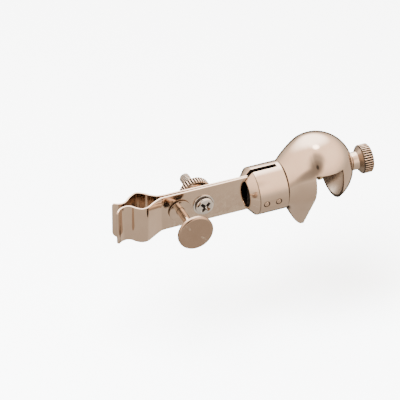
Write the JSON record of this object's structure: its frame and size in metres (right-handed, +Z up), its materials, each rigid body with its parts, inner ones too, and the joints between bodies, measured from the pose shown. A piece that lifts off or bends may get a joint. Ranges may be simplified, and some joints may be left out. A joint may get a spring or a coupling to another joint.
{
  "type": "test tube holder",
  "caption": "Beaker-rim holder: slotted hollow ball clamp with a knurled rim screw, swivelling barrel, and a spring-strip arm whose bent jaws grip a tube, closed by a disc-headed thumb screw.",
  "frame": {"origin": "seat of the beaker rim: the middle of the rim slot, level with its ceiling, on the arm's middle plane", "axes": "+X out of the beaker, towards the rim screw; +Y to the side of the knurled nut; +Z up"},
  "size_m": [0.0935, 0.0316, 0.0343],
  "materials": {
    "nickel": "polished warm nickel plate with fine wear",
    "bright_nickel": "bright neutral plate",
    "steel": "plain steel",
    "brass": "plain turned brass"
  },
  "bodies": {
    "clamp_body": {"ball_shell": "nickel", "screw_bushing": "nickel", "swivel_stud": "steel"},
    "rim_pad": {"rim_pad": "brass"},
    "rim_screw": {"rim_screw": "nickel"},
    "arm": {"barrel": "nickel", "friction_washer": "steel", "outer_pin": "nickel", "inner_pin": "nickel", "front_jaw_root": "nickel", "rear_jaw": "nickel", "clinch_nut": "steel"},
    "front_jaw": {"front_jaw": "nickel", "cross_head_screw": "bright_nickel"},
    "nut_bush": {"nut_bush": "nickel"},
    "knurled_nut": {"knurled_nut": "nickel"},
    "thumb_collar": {"thumb_collar": "nickel"},
    "thumb_screw": {"thumb_shank": "nickel", "thumb_disc": "nickel"}
  },
  "joints": [
    {"name": "rim_travel", "type": "slide", "parent": "clamp_body", "child": "rim_pad", "axis": [1, 0, 0], "range_m": [0, 0.0056]},
    {"name": "rim_turn", "type": "hinge", "parent": "rim_pad", "child": "rim_screw", "pos_m": [0, 0, -0.0057], "axis": [1, 0, 0], "range_deg": [0, 2520]},
    {"name": "arm_swivel", "type": "hinge", "parent": "clamp_body", "child": "arm", "pos_m": [-0.0135, 0, -0.0077], "axis": [1, 0, 0], "continuous": true},
    {"name": "front_jaw_flex", "type": "hinge", "parent": "arm", "child": "front_jaw", "pos_m": [-0.0274, -0.00038, -0.0077], "axis": [0, 0, 1], "range_deg": [0, 6]},
    {"name": "nut_travel", "type": "slide", "parent": "front_jaw", "child": "nut_bush", "axis": [0, 1, 0], "range_m": [0, 0.0064]},
    {"name": "nut_turn", "type": "hinge", "parent": "nut_bush", "child": "knurled_nut", "pos_m": [-0.042, 0, -0.0077], "axis": [0, 1, 0], "range_deg": [0, 2880]},
    {"name": "thumb_travel", "type": "slide", "parent": "arm", "child": "thumb_collar", "axis": [0, -1, 0], "range_m": [0, 0.0026]},
    {"name": "thumb_turn", "type": "hinge", "parent": "thumb_collar", "child": "thumb_screw", "pos_m": [-0.0506, 0, -0.0077], "axis": [0, -1, 0], "range_deg": [0, 1170]}
  ],
  "couplings": [
    {"joint": "rim_turn", "follows": "rim_travel", "rad_per_m": 7854},
    {"joint": "nut_turn", "follows": "nut_travel", "rad_per_m": 7854},
    {"joint": "thumb_turn", "follows": "thumb_travel", "rad_per_m": 7854},
    {"joint": "front_jaw_flex", "follows": "thumb_travel", "rad_per_m": 40.276}
  ]
}
